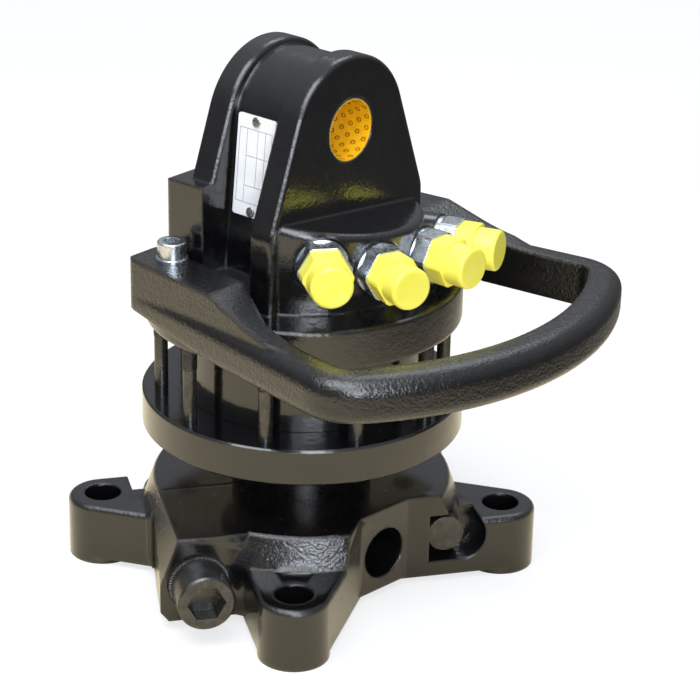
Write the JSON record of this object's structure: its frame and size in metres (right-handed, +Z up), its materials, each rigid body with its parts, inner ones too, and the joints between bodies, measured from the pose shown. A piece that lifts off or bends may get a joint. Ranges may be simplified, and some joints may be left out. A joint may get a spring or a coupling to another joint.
{
  "type": "hydraulic grapple rotator",
  "caption": "Hydraulic grapple rotator: eared head with capped oil ports and hose guard, bolted vane motor, and a split clamp flange that turns without end.",
  "frame": {"origin": "on the turning axis, in the plane of the four feet that the grapple is bolted to", "axes": "+Z up along the turning axis, from the feet to the hanging pin; the pin runs along X, with the oil ports and the hose guard towards +X"},
  "size_m": [0.2104, 0.194, 0.2315],
  "materials": {
    "black_gloss": "gloss black paint over castings and turned parts",
    "black_cast": "black paint over a rough cast or forged skin",
    "black_steel": "black finished steel screws and washers",
    "zinc": "bright zinc plating",
    "cap_yellow": "bright yellow moulded plastic",
    "liner_yellow": "yellow bearing liner with grease pockets",
    "steel": "ground steel",
    "bronze": "bearing bronze",
    "plate_silver": "satin aluminium plate, bare",
    "rubber": "black seal rubber"
  },
  "bodies": {
    "housing": {"head_casting": "black_gloss", "pin_bushes": "steel", "bush_liners": "liner_yellow", "nameplate": "plate_silver", "nameplate_rivets": "steel", "port_washers": "zinc", "port_adapters": "zinc", "port_caps": "cap_yellow", "hose_guard": "black_cast", "guard_screws": "zinc", "guard_washers": "zinc", "cam_ring": "black_gloss", "lower_cover": "black_gloss", "cover_bolts": "black_steel", "cam_ring_dowels": "steel", "cam_ring_seals": "rubber", "lower_bush": "bronze", "upper_bush": "bronze", "thrust_washer": "bronze", "shaft_seal": "rubber", "dust_wiper": "rubber"},
    "rotor": {"rotor_shaft": "steel", "swivel_seals": "rubber", "vanes": "steel", "vane_springs": "steel", "drive_keys": "steel", "clamp_half_front": "black_gloss", "clamp_half_rear": "black_gloss", "pinch_bolts": "black_steel", "pinch_washers": "black_steel"}
  },
  "joints": [
    {"name": "rotor_turn", "type": "hinge", "parent": "housing", "child": "rotor", "pos_m": [0, 0, 0], "axis": [0, 0, 1], "continuous": true}
  ]
}
